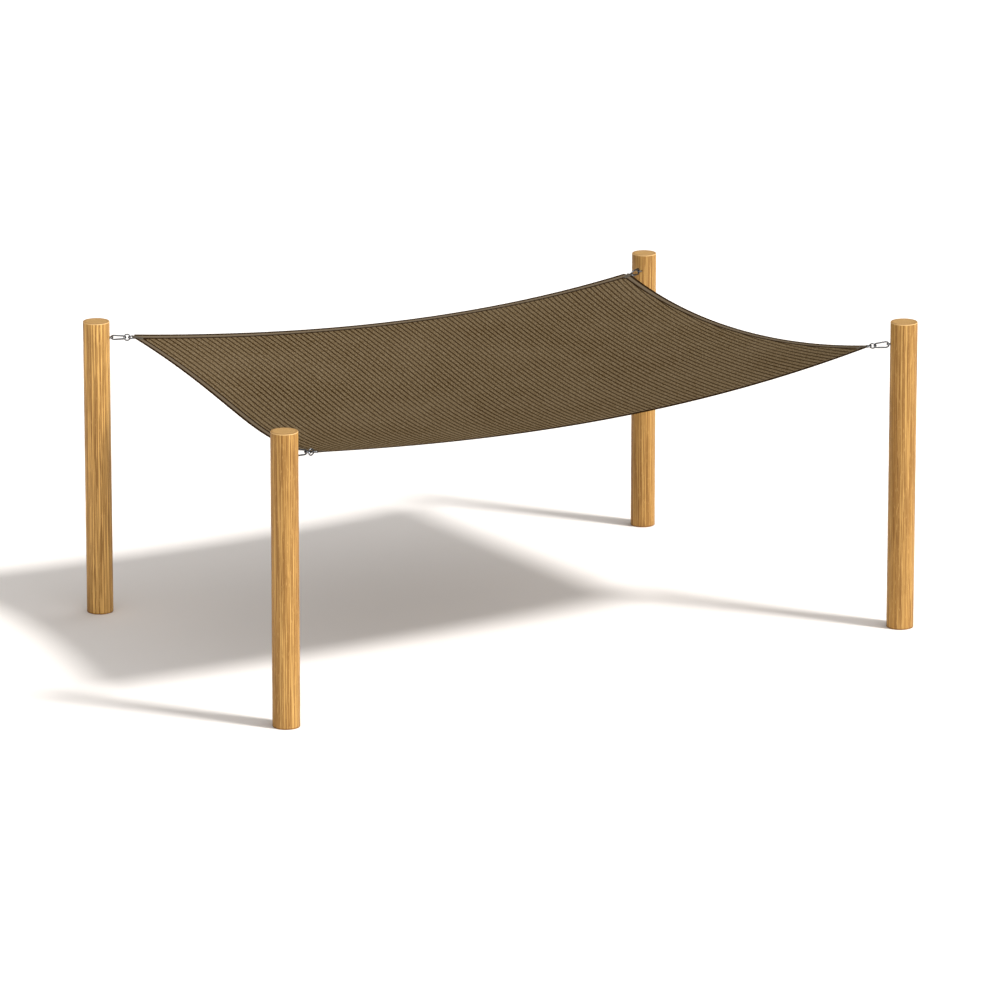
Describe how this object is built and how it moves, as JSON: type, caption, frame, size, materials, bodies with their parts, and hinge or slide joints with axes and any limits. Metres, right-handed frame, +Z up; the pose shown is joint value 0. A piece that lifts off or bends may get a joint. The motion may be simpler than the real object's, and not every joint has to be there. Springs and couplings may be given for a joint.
{
  "type": "shade sail with posts",
  "caption": "Rectangular knitted shade sail hung at its blunt corners by straps, D-rings, link rings and pear links from round timber posts, to shade the space below.",
  "frame": {"origin": "on the ground, under the middle of the box around the four posts", "axes": "+X along the long sides of the sail, +Y towards the back, +Z up"},
  "size_m": [5.467, 3.635, 2.388],
  "materials": {
    "timber": "planed round softwood, honey brown, upright grain",
    "steel": "bright steel wire",
    "webbing": "dark woven webbing",
    "shade_cloth": "knitted taupe shade cloth with thin dark brown lines"
  },
  "bodies": {
    "root": {"sail_cloth": "shade_cloth", "post_left": "timber", "staple_left": "steel", "pear_link_left": "steel", "d_ring_left": "steel", "corner_strap_left": "webbing", "post_front": "timber", "staple_front": "steel", "pear_link_front": "steel", "d_ring_front": "steel", "corner_strap_front": "webbing", "post_back": "timber", "staple_back": "steel", "pear_link_back": "steel", "d_ring_back": "steel", "corner_strap_back": "webbing", "post_right": "timber", "staple_right": "steel", "pear_link_right": "steel", "d_ring_right": "steel", "corner_strap_right": "webbing", "link_ring_left_1": "steel", "link_ring_front_1": "steel", "link_ring_front_2": "steel", "link_ring_right_1": "steel"}
  },
  "joints": []
}
